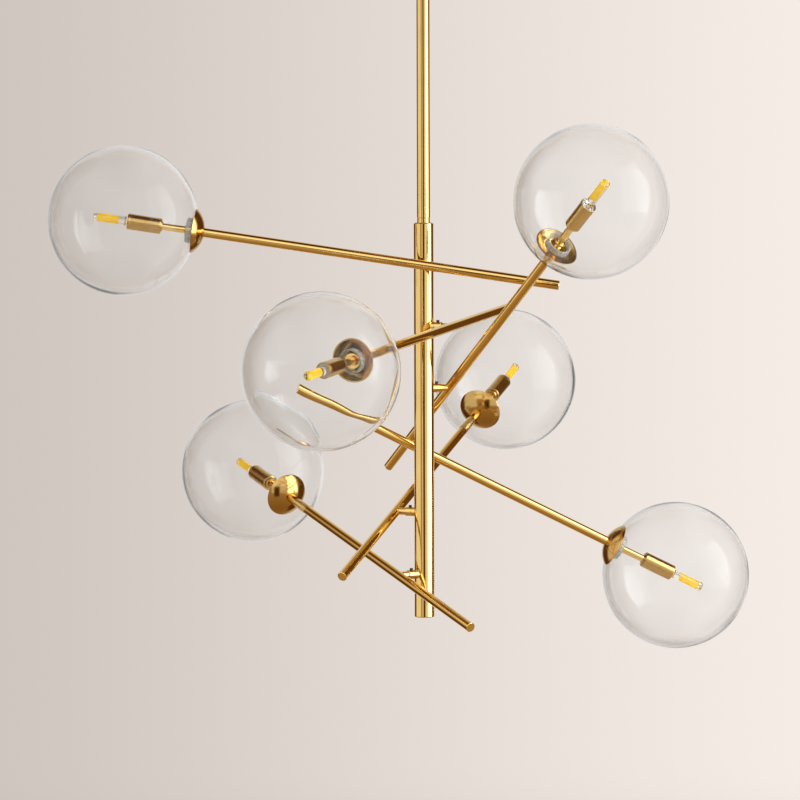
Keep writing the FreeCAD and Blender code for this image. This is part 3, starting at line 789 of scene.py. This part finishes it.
DISH_RIM, DISH_FLOOR = 0.4, 0.32    # dish in a thumb screw's face, as shares of its radius
SIDES_PER_FLUTE = 8


def smooth_step(value, low, high):
    """0 below low, 1 above high, eased between."""
    part = min(1.0, max(0.0, (value - low) / (high - low)))
    return part * part * (3 - 2 * part)


def plain(points):
    """Corners without rounding from (radius, height) points."""
    return [(*point, 0.0) for point in points]


def blown_globe(number):
    """Globe with a wandering wall, a fire-polished collar and a rounded hole."""
    globes = chosen("globes")
    centre_point, outer, inner = globe_skins(number)
    centre = (PLACES[number].inverted() @ centre_point).z
    radii, heights = turned_outline("glass_globe", number)
    hole = math.sqrt(outer ** 2 - (centre - float(heights.min())) ** 2)
    collar = (radii < COLLAR_WITHIN * outer) & (heights < centre)
    collar_end = float(heights[collar].max())
    collar_inner, collar_outer = radius_near("glass_globe", number, collar_end)
    inner_end = math.asin(collar_outer / inner)
    skin = sphere_arc(centre, outer, math.asin(hole / outer), math.pi, GLOBE_STEPS)
    lining = sphere_arc(centre, inner, math.pi, inner_end, GLOBE_STEPS)
    floor = sphere_arc(
        centre, inner, math.asin(collar_inner / inner), math.asin(hole / inner), FLOOR_STEPS)
    corners = [
        (*skin[0], globes.hole_edge), *plain(skin[1:] + lining[:-1]),
        (*lining[-1], 2 * globes.lip), (collar_outer, collar_end, globes.lip),
        (collar_inner, collar_end, globes.lip), (*floor[0], globes.lip),
        *plain(floor[1:-1]), (*floor[-1], globes.hole_edge),
    ]
    piece = finished("blown_globe_%d" % number, turned(softened(corners), globes.around))
    ripple_globe(piece, number, centre, outer, inner)
    dress(piece, kept(blown_glass), kept(ground_glass))
    frost_from = centre - inner * math.cos(inner_end) + globes.lip
    for face in piece.data.polygons:
        across = math.hypot(face.center.x, face.center.y)
        if frost_from < face.center.z < collar_end and across < FROST_WITHIN * collar_outer:
            face.material_index = 1
    seat(piece, number, "glass_globe")


def ripple_globe(piece, number, centre, outer, inner):
    """Lets a globe's skin dip and its wall wander, more and more away from the collar."""
    globes = chosen("globes")
    middle = Vector((0, 0, centre))
    shift = Vector((RIPPLE_SHIFT * number, 0, 0))
    for vert in piece.data.vertices:
        spoke = vert.co - middle
        reach = spoke.length
        spoke.normalize()
        from_collar = smooth_step(spoke.angle(Vector((0, 0, -1))), RIPPLE_FROM, RIPPLE_FULL)
        wander = noise.noise(vert.co / globes.ripple_size + shift) * from_collar
        if reach > (outer + inner) / 2:
            vert.co -= spoke * globes.skin * (0.5 + 0.5 * wander) * from_collar
        elif reach > inner - globes.lip:
            vert.co += spoke * globes.ripple * wander


def spun_cup(number):
    """Spun dish with a rounded lip, satin from the lathe."""
    turnings = chosen("turnings")
    low, rim_height, rim = ends_of("shade_cup", number)
    hole, flat = radius_near("shade_cup", number, low)
    radii, heights = turned_outline("shade_cup", number)
    near_floor = (radii < hole + NEAR) & (heights > low + NEXT_STEP)
    wall = float(heights[near_floor].min()) - low
    depth = rim_height - low
    bulge = (rim ** 2 - flat ** 2 + depth ** 2) / (2 * depth)
    bend = math.hypot(rim, bulge - depth)
    centre = low + bulge
    outside = sphere_arc(centre, bend, math.asin(flat / bend), math.asin(rim / bend), CUP_STEPS)
    inner = bend - wall
    inside_start = math.acos((centre - rim_height) / inner)
    inside_end = math.acos((centre - low - wall) / inner)
    inside = sphere_arc(centre, inner, inside_start, inside_end, CUP_STEPS)
    corners = [
        (hole, low, turnings.edge), (*outside[0], turnings.edge), *plain(outside[1:-1]),
        (*outside[-1], turnings.lip), (*inside[0], turnings.lip), *plain(inside[1:-1]),
        (*inside[-1], turnings.edge), (hole, low + wall, turnings.edge),
    ]
    piece = finished("spun_cup_%d" % number, turned(softened(corners), turnings.around))
    dress(piece, kept(turned_brass))
    seat(piece, number, "shade_cup")


def turned_sleeve(number):
    """Socket sleeve: cone at the stem, round shoulder, a turned line and an eased mouth."""
    turnings = chosen("turnings")
    low, mouth, outer = ends_of("socket_sleeve", number)
    radii, heights = turned_outline("socket_sleeve", number)
    hole, cone_foot = radius_near("socket_sleeve", number, low)
    start = float(heights[heights > low + NEXT_STEP].min())
    cone_top, shoulder = radius_near("socket_sleeve", number, start)
    inner = radius_near("socket_sleeve", number, mouth)[0]
    floor = float(heights[np.abs(radii - inner) < NEAR].min())
    line = mouth - turnings.band_setback
    groove = outer - turnings.band_depth
    corners = [
        (hole, low, turnings.edge), (cone_foot, low, turnings.edge), (cone_top, start, 0.0),
        (outer, start, outer - shoulder), (outer, line - turnings.band_width, 0.0),
        (groove, line - turnings.band_width / 2, 0.0), (outer, line, 0.0),
        (outer, mouth, turnings.mouth), (inner, mouth, turnings.mouth),
        (inner, floor, turnings.edge), (hole, floor, turnings.edge),
    ]
    piece = finished("turned_sleeve_%d" % number, turned(softened(corners), turnings.around))
    dress(piece, kept(turned_brass))
    seat(piece, number, "socket_sleeve")


def lamp_levels(number):
    """Heights of a lamp's foot, of its glass and of its tip, and the radius of its glass."""
    radii, heights = turned_outline("lamp", number)
    foot = heights[radii > radii.max() - NEAR]
    glass = radii[heights > foot.max() + NEXT_STEP]
    return float(foot.min()), float(foot.max()), float(heights.max()), float(glass.max())


def strip_ends(number):
    """Lowest and highest height of a lamp's light strip."""
    lamps = chosen("lamps")
    high = lamp_levels(number)[2] - lamps.strip_from_tip
    return high - lamps.strip_length, high


def lamp_piece(name, number, build, make):
    """Makes a piece of a lamp from its bmesh, with its finish, and seats it."""
    piece = finished("%s_%d" % (name, number), build)
    dress(piece, kept(make))
    seat(piece, number, "lamp")


def lamp_envelope(number):
    """Clear capsule with a domed tip and a closed foot."""
    wall = chosen("lamps").glass_wall
    glass, tip, radius = lamp_levels(number)[1:]
    inner = radius - wall
    corners = [
        (0, glass, 0.0), (radius, glass, wall), (radius, tip, DOME * radius), (0, tip, 0.0),
        (0, tip - wall, 0.0), (inner, tip - wall, DOME * inner), (inner, glass + wall, wall),
        (0, glass + wall, 0.0),
    ]
    build = turned(softened(corners, DOME_STEP), LAMP_SIDES)
    lamp_piece("lamp_envelope", number, build, envelope_glass)


def lamp_foot(number):
    """Flattened foot of the lamp's glass."""
    lamps = chosen("lamps")
    foot, glass = lamp_levels(number)[:2]
    size = (lamps.pinch_thickness, lamps.pinch_width, glass - foot)
    build = rounded_box(size, (foot + glass) / 2, PINCH_ROUNDING * lamps.pinch_thickness)
    lamp_piece("lamp_foot", number, build, envelope_glass)


def lamp_pins(number):
    """The two pins, from the middle of the foot down."""
    lamps = chosen("lamps")
    low = ends_of("lamp", number)[0]
    foot, glass = lamp_levels(number)[:2]
    build = bmesh.new()
    for side in (-1, 1):
        across = side * lamps.pin_spacing / 2
        ends = [Vector((0, across, low)), Vector((0, across, (foot + glass) / 2))]
        tube_along(build, ends, lamps.pin / 2)
    lamp_piece("lamp_pins", number, build, bright_wire)


def lamp_strip(number):
    """Light strip in yellow silicone."""
    lamps = chosen("lamps")
    low, high = strip_ends(number)
    size = (lamps.strip_thickness, lamps.strip_width, lamps.strip_length)
    build = rounded_box(size, (low + high) / 2, STRIP_ROUNDING * lamps.strip_thickness)
    lamp_piece("lamp_strip", number, build, phosphor)


def lamp_leads(number):
    """Two lead wires from the foot to the strip, and the hook that holds its far end."""
    lamps = chosen("lamps")
    glass, tip = lamp_levels(number)[1:3]
    low, high = strip_ends(number)
    rise = (low - glass) / 2
    build = bmesh.new()
    for side in (-1, 1):
        pin = side * lamps.pin_spacing / 2
        lead = side * lamps.wire_spacing / 2
        route = ((pin, glass - rise), (pin, glass), ((pin + lead) / 2, glass + rise),
                 (lead, low), (lead, low + lamps.wire_overlap))
        points = [Vector((0, across, height)) for across, height in route]
        tube_along(build, points, lamps.wire / 2, WIRE_SIDES)
    hook = []
    reach = tip - lamps.glass_wall - high - lamps.wire
    for part in range(HOOK_STEPS + 1):
        lean = math.pi * part / HOOK_STEPS
        hook.append(Vector((0, lamps.hook_width / 2 * math.cos(lean),
                            high - HOOK_SUNK + reach * math.sin(lean))))
    tube_along(build, hook, lamps.wire / 2, WIRE_SIDES)
    bmesh.ops.recalc_face_normals(build, faces=build.faces)
    lamp_piece("lamp_leads", number, build, bright_wire)


def hexagon(lean):
    """Share of a hexagon's corner radius at an angle."""
    half_side = math.pi / 6
    return math.cos(half_side) / math.cos(lean % (2 * half_side) - half_side)


def cap_screws():
    """The six cap screws in the knuckles, with hexagon sockets."""
    turnings = chosen("turnings")
    key = turnings.key_flats / math.sqrt(3)
    points = points_of("set_screws")
    build = bmesh.new()
    for number in ARMS:
        rise = points[:, 2] - PLACES[number].translation.z
        outward = PLACES[number].to_3x3() @ Vector((1, 0, 0))
        along = points[:, :2] @ np.array(outward[:2])
        own = points[(rise > 0) & (rise < SCREW_ABOVE) & (along > 0)]
        heights = own[:, 2]
        axis = (own[:, :2].min(axis=0) + own[:, :2].max(axis=0)) / 2
        radii = np.hypot(own[:, 0] - axis[0], own[:, 1] - axis[1])
        head = radii.max()
        top, tip = float(heights.max()), float(heights.min())
        shank = radii[heights < tip + NEAR].max()
        seat_height = float(heights[radii > head - NEAR].min())
        outline = softened([
            (0, tip, 0.0), (shank, tip, 0.0), (shank, seat_height, 0.0),
            (head, seat_height, turnings.edge / 2), (head, top, turnings.edge),
            (SOCKET_RIM * key, top, 0.0),
        ])
        socket = [(key, top, hexagon), (key, top - turnings.key_depth, hexagon),
                  (0, top - DRILL_POINT * turnings.key_depth)]
        place = Matrix.Translation((*axis, 0))
        turned(outline + socket, SCREW_SIDES, place, build)
    piece = finished("cap_screws", build)
    dress(piece, kept(blackened_steel))
    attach(piece, "column")
    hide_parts("set_screws")


def thumb_screws():
    """Two fluted thumb screws in the canopy's sides."""
    turnings = chosen("turnings")
    points = points_of("canopy_screws")
    drop = (points[:, 2].min() + points[:, 2].max()) / 2
    right = points[points[:, 0] > 0]
    along = right[:, 0]
    radii = np.hypot(right[:, 1], right[:, 2] - drop)
    head, reach, tip = radii.max(), along.max(), along.min()
    shank = radii[along < tip + NEAR].max()
    seat_at = along[radii > head - NEAR].min() - HEAD_CHAMFER
    deepest = turnings.flute_depth / head

    def fluted(lean):
        return 1 - deepest * (0.5 - 0.5 * math.cos(turnings.thumb_flutes * lean))

    edge = 2 * turnings.edge
    outline = [
        (0, tip), (shank, tip), (shank, seat_at), (head - edge, seat_at),
        (head, seat_at + edge, fluted), (head, reach - edge, fluted), (head - edge, reach),
        (DISH_RIM * head, reach), (DISH_FLOOR * head, reach - edge), (0, reach - edge),
    ]
    build = bmesh.new()
    for side in (90, -90):
        place = Matrix.Translation((0, 0, drop)) @ Matrix.Rotation(math.radians(side), 4, "Y")
        turned(outline, SIDES_PER_FLUTE * turnings.thumb_flutes, place, build)
    piece = finished("thumb_screws", build)
    dress(piece, kept(drawn_brass))
    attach(piece, "ceiling_fitting")
    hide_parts("canopy_screws")


# ---- Studio -------------------------------------------------------------------------

# What polished metal and glass show of the studio. Each panel is painted over those before
# it: left and right edge, lower and upper edge, width of its soft edges, all in degrees from
# the camera's side, with right and up positive, and its brightness.
PANELS = (
    (-185, -152, -40, 45, 12, 0.78),    # behind the object, its left half
    (152, 185, -40, 45, 12, 0.78),      # behind the object, its right half
    (-106, -42, -18, 55, 8, 0.94),      # broad panel to the left
    (-22, -8, -15, 20, 5, 0.90),        # narrow strip left of the camera
    (12, 44, -15, 20, 6, 0.90),         # strip right of the camera
    (-60, 60, 13, 53, 9, 1.30),         # long panel above the camera
    (-12, 10, -30, 9, 6, 0.10),         # dark flag at the camera
    (44, 92, -14, 44, 9, 4.20),         # bright panel to the right
    (-149, -110, -60, 58, 7, 0.12),     # dark flag behind, to the left
    (100, 146, -60, 58, 7, 0.14),       # dark flag behind, to the right
    (-200, 200, 64, 120, 10, 0.07),     # dark top
)
HORIZON_TONE = 0.50
NADIR_TONE = 0.34
WARMTH_OF_SHADE = (1.0, 0.42, 0.09)     # a dark tone leans towards this colour
NEUTRAL_FROM = 0.75                     # a tone this bright or brighter has no warmth
MOST_WARMTH = 1.15                      # power of the warmth in full black

# A light ray's counts are whole numbers, so each of these stands half way between two
OVER_NONE = 0.5
OVER_TWO = 2.5

FLOOR_SIDES = 96
FLOOR_FADE = (0.35, 0.9)                # shares of the floor's radius over which it fades
FLOOR_CLOUD = 0.08
FLOOR_DEEPEST = 0.93
SENSOR_MM = 36.0
CLIP_END = 100.0


def shade_of(tone):
    """Colour of a tone: neutral where it is bright, and browner the darker it is."""
    warm = MOST_WARMTH * max(0.0, 1 - tone / NEUTRAL_FROM)
    return tuple(tone * warmth ** warm for warmth in WARMTH_OF_SHADE)


def within(tree, value, low, high, feather):
    """1 between two angles and 0 outside them, over a soft edge."""
    middle, half = (low + high) / 2, (high - low) / 2
    away = maths(tree, "ABSOLUTE", maths(tree, "SUBTRACT", value, middle))
    return remap(tree, away, half + feather / 2, half - feather / 2)


def surround_tone(tree, direction):
    """The studio's panels and dark flags, by turn and rise from the camera's side."""
    per_radian = math.degrees(1)
    towards = maths(tree, "MULTIPLY", direction.outputs["Y"], -1.0)
    turn = maths(tree, "ARCTAN2", direction.outputs["X"], towards)
    turn = maths(tree, "MULTIPLY", turn, per_radian)
    rise = maths(tree, "MULTIPLY", maths(tree, "ARCSINE", direction.outputs["Z"]), per_radian)
    down = remap(tree, rise, 0, -90)
    shown = blend_colours(tree, down, shade_of(HORIZON_TONE), shade_of(NADIR_TONE))
    for left, right, low, high, feather, tone in PANELS:
        across = within(tree, turn, left, right, feather)
        upward = within(tree, rise, low, high, feather)
        inside = maths(tree, "MULTIPLY", across, upward)
        shown = blend_colours(tree, inside, shown, shade_of(tone))
    return shown


def studio_world():
    """Plain light from all round, the backdrop with its painted shade and light where it is seen,
    and panels for reflections.
    """
    studio = chosen("studio")
    world = bpy.data.worlds.new("studio")
    bpy.context.scene.world = world
    world.use_nodes = True
    tree = world.node_tree
    tree.nodes.clear()
    direction = add(tree, "SeparateXYZ", Vector=add(tree, "TexCoord").outputs["Generated"])
    # Painted shade and light on the backdrop: its tone runs from darker at the left to brighter at
    # the right
    sideways = remap(tree, direction.outputs["X"], -studio.backdrop_turn, studio.backdrop_turn)
    backdrop = blend_colours(tree, sideways, studio.backdrop_shaded_left, studio.backdrop_lit_right)
    path = add(tree, "LightPath").outputs
    unscattered = maths(tree, "LESS_THAN", path["Diffuse Depth"], OVER_NONE)
    through = maths(tree, "MULTIPLY", path["Is Transmission Ray"], unscattered)
    seen = maths(tree, "MAXIMUM", path["Is Camera Ray"], through)
    straight = blend_colours(tree, seen, (studio.fill, studio.fill, studio.fill), backdrop)
    in_wall = maths(tree, "MULTIPLY",
                    maths(tree, "GREATER_THAN", path["Transmission Depth"], OVER_NONE),
                    maths(tree, "LESS_THAN", path["Transmission Depth"], OVER_TWO))
    in_wall = maths(tree, "MULTIPLY", in_wall, studio.rim_light)
    surround = blend_colours(tree, in_wall, surround_tone(tree, direction), backdrop)
    mirrored = maths(tree, "GREATER_THAN", path["Glossy Depth"], OVER_NONE)
    shown = blend_colours(tree, mirrored, straight, surround)
    ground = add(tree, "Background", Color=shown)
    add(tree, "OutputWorld", Surface=ground.outputs["Background"])


def studio_floor():
    """Pale round floor that fades into the backdrop; from below, and to metal, it isn't there."""
    studio = chosen("studio")
    build = bmesh.new()
    bmesh.ops.create_circle(
        build, cap_ends=True, segments=FLOOR_SIDES, radius=studio.floor_radius)
    floor = finished("floor", build)
    floor.location.z = -studio.floor_drop
    material, tree, shader, where = new_finish("floor_paint", Roughness=0.9)
    cloud = place_group(tree, handling_marks, where, Smudge_fineness=0.6, Speck_fineness=40.0)
    tone = maths(tree, "MULTIPLY", cloud.outputs["Smudge"], FLOOR_CLOUD)
    deeper = tuple(channel * FLOOR_DEEPEST for channel in studio.floor)
    feed(shader, Base_Color=blend_colours(tree, tone, studio.floor, deeper))
    reach = add(tree, "VectorMath", operation="LENGTH", Vector=where).outputs["Value"]
    faded = remap(tree, reach, *(part * studio.floor_radius for part in FLOOR_FADE))
    below = add(tree, "NewGeometry").outputs["Backfacing"]
    clear_by(tree, shader, maths(tree, "MAXIMUM", faded, below))
    dress(floor, material)
    floor.visible_glossy = False


def heading(turn, rise):
    """Direction from a turn, to the right of +Y, and a rise above the level."""
    level = math.cos(rise)
    return Vector((math.sin(turn) * level, math.cos(turn) * level, math.sin(rise)))


def key_lamp():
    """One large soft lamp to the right, tall and oval, which metal and glass don't mirror."""
    studio = chosen("studio")
    lamp = bpy.data.lights.new("key", "AREA")
    lamp.shape = "ELLIPSE"
    lamp.size = studio.key_width
    lamp.size_y = studio.key_height
    face = math.pi * lamp.size * lamp.size_y / 4
    lamp.energy = studio.key_radiance * math.pi * face
    spot = bpy.data.objects.new("key", lamp)
    bpy.context.scene.collection.objects.link(spot)
    low, high = CAD_BOX
    aim = (low + high) / 2
    out = heading(studio.key_turn, studio.key_rise)
    out.y = -out.y      # its turn is counted from the camera, which stands at -Y
    spot.location = aim + out * studio.key_distance
    spot.rotation_euler = out.to_track_quat("Z", "Y").to_euler()
    spot.visible_camera = False
    spot.visible_glossy = False


def studio_camera():
    """Camera at the photograph's place, lens and lean."""
    studio = chosen("studio")
    pitch, yaw, roll = studio.camera_pitch, studio.camera_yaw, studio.camera_roll
    ahead = heading(yaw, pitch)
    level = Vector((math.cos(yaw), -math.sin(yaw), 0))
    above = level.cross(ahead)
    right = math.cos(roll) * level + math.sin(roll) * above
    up = math.cos(roll) * above - math.sin(roll) * level
    turn = Matrix((right, up, -ahead)).transposed()
    lens = bpy.data.cameras.new("camera")
    lens.sensor_width = SENSOR_MM
    lens.lens = studio.lens_pixels / studio.picture_pixels * lens.sensor_width
    lens.clip_end = CLIP_END
    camera = bpy.data.objects.new("camera", lens)
    spot = Vector((0, -studio.camera_distance, -studio.camera_drop))
    camera.matrix_world = Matrix.Translation(spot) @ turn.to_4x4()
    bpy.context.scene.collection.objects.link(camera)
    bpy.context.scene.camera = camera


# ---- Operators, in the order in which they run --------------------------------------

# How the names of the carried brass nodes start
BRASS_NODES = ("down_rod", "column_", "knuckle_", "arm_tube_", "pivot_spigot_", "lamp_stem_",
               "swivel_", "canopy")


class CHANDELIER_OT_stage(bpy.types.Operator):
    """Floor, backdrop, lamp, camera and view transform"""
    bl_idname = "chandelier.stage"
    bl_label = "Studio"

    def execute(self, context):
        context.scene.view_settings.view_transform = "Standard"
        studio_world()
        studio_floor()
        key_lamp()
        studio_camera()
        return {"FINISHED"}


class CHANDELIER_OT_brasswork(bpy.types.Operator):
    """Finishes on the carried rod, column, knuckles, arms, stems and canopy"""
    bl_idname = "chandelier.brasswork"
    bl_label = "Brasswork"

    def execute(self, context):
        for node in NODES:
            if node.startswith(BRASS_NODES):
                cover(node, kept(drawn_brass))
        return {"FINISHED"}


class CHANDELIER_OT_fittings(bpy.types.Operator):
    """Ceiling strap, lock nut, cap screws and thumb screws"""
    bl_idname = "chandelier.fittings"
    bl_label = "Fittings and screws"

    def execute(self, context):
        for node in ("ceiling_bracket", "hub_locknut"):
            cover(node, kept(plated_steel))
        cap_screws()
        thumb_screws()
        return {"FINISHED"}


class CHANDELIER_OT_cups(bpy.types.Operator):
    """Spun cups behind the globes"""
    bl_idname = "chandelier.cups"
    bl_label = "Cups"

    def execute(self, context):
        for number in ARMS:
            spun_cup(number)
        return {"FINISHED"}


class CHANDELIER_OT_sockets(bpy.types.Operator):
    """Turned sleeves and the ceramic holders in them"""
    bl_idname = "chandelier.sockets"
    bl_label = "Sockets"

    def execute(self, context):
        for number in ARMS:
            turned_sleeve(number)
            cover("lamp_holder_%d" % number, kept(glazed_ceramic))
        return {"FINISHED"}


class CHANDELIER_OT_lamps(bpy.types.Operator):
    """Capsule lamps: envelope, foot, pins, light strip and lead wires"""
    bl_idname = "chandelier.lamps"
    bl_label = "Lamps"

    def execute(self, context):
        for number in ARMS:
            lamp_envelope(number)
            lamp_foot(number)
            lamp_pins(number)
            lamp_strip(number)
            lamp_leads(number)
        return {"FINISHED"}


class CHANDELIER_OT_globes(bpy.types.Operator):
    """Blown glass globes"""
    bl_idname = "chandelier.globes"
    bl_label = "Globes"

    def execute(self, context):
        for number in ARMS:
            blown_globe(number)
        return {"FINISHED"}


OPERATORS = (
    CHANDELIER_OT_stage, CHANDELIER_OT_brasswork, CHANDELIER_OT_fittings, CHANDELIER_OT_cups,
    CHANDELIER_OT_sockets, CHANDELIER_OT_lamps, CHANDELIER_OT_globes,
)


class CHANDELIER_PT_sidebar(bpy.types.Panel):
    """Lists the steps and their settings"""
    bl_label = "Branch chandelier"
    bl_idname = "CHANDELIER_PT_sidebar"
    bl_space_type = "VIEW_3D"
    bl_region_type = "UI"
    bl_category = "Chandelier"

    def draw(self, context):
        for operator in OPERATORS:
            self.layout.operator(operator.bl_idname)
        for name, group in SETTINGS.items():
            box = self.layout.box()
            for key in group.__annotations__:
                box.prop(chosen(name), key)


SETTINGS = {
    "finishes": ChandelierFinishes,
    "globes": ChandelierGlobes,
    "turnings": ChandelierTurnings,
    "lamps": ChandelierLamps,
    "studio": ChandelierStudio,
}
CLASSES = (*SETTINGS.values(), *OPERATORS, CHANDELIER_PT_sidebar)


def register():
    for each in CLASSES:
        bpy.utils.register_class(each)
    for name, group in SETTINGS.items():
        setattr(bpy.types.Scene, "chandelier_" + name, PointerProperty(type=group))


def unregister():
    for name in SETTINGS:
        delattr(bpy.types.Scene, "chandelier_" + name)
    for each in reversed(CLASSES):
        bpy.utils.unregister_class(each)


def main():
    register()
    for operator in OPERATORS:
        step = operator.bl_idname.split(".")[1]
        getattr(bpy.ops.chandelier, step)()


if __name__ == "__main__":
    main()
